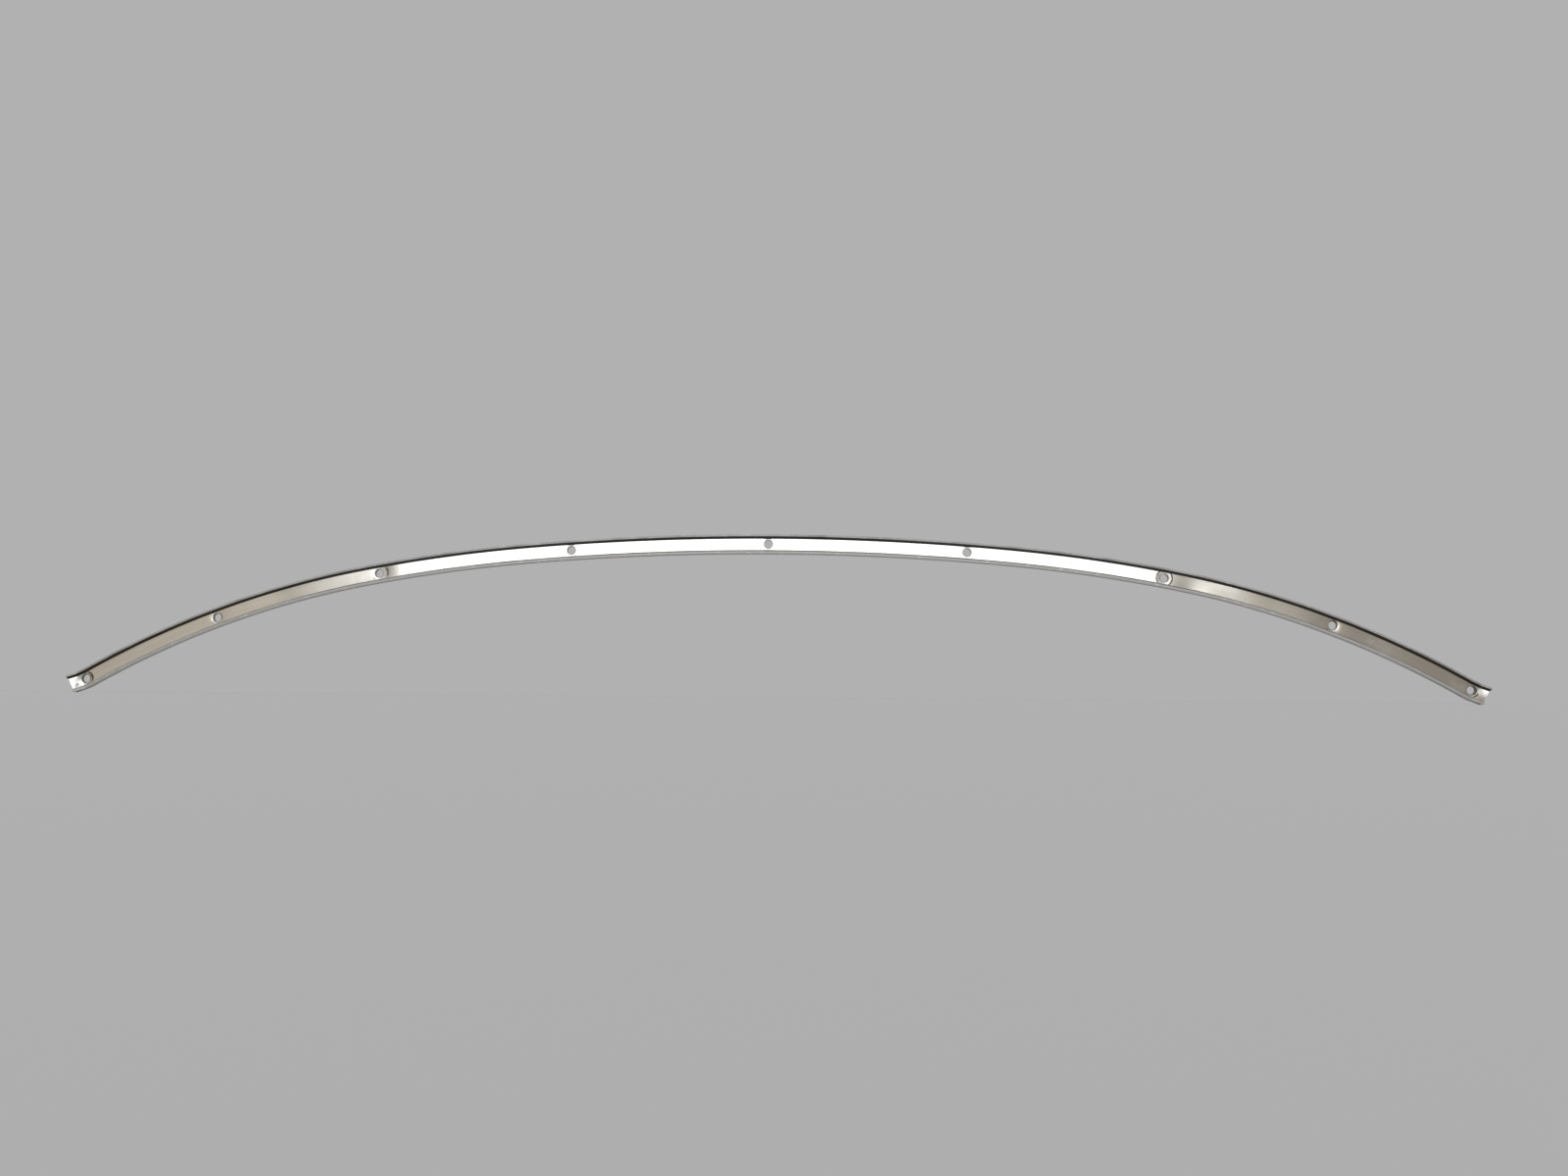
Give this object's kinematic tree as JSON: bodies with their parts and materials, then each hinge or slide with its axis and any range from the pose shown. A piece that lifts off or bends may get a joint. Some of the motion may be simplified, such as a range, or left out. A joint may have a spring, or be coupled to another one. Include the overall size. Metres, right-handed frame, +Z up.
{
  "type": "bowed trim rail",
  "caption": "Shallow arched aluminium channel rail with flared side lips and a row of through screw holes in shallow dished seats along its floor, to hold down a seal or trim edge.",
  "frame": {"origin": "on the axis of the middle screw hole, at the flat mounting back", "axes": "+X along the chord of the arch to the right, +Z up to the crown of the arch, -Y out of the open side of the channel, so the back faces +Y"},
  "size_m": [1.077, 0.0049, 0.1265],
  "materials": {
    "bare_aluminium": "bare extruded aluminium, worn to a satin sheen, slightly warm with age, with fine lengthwise lines"
  },
  "bodies": {
    "root": {"rail": "bare_aluminium"}
  },
  "joints": []
}
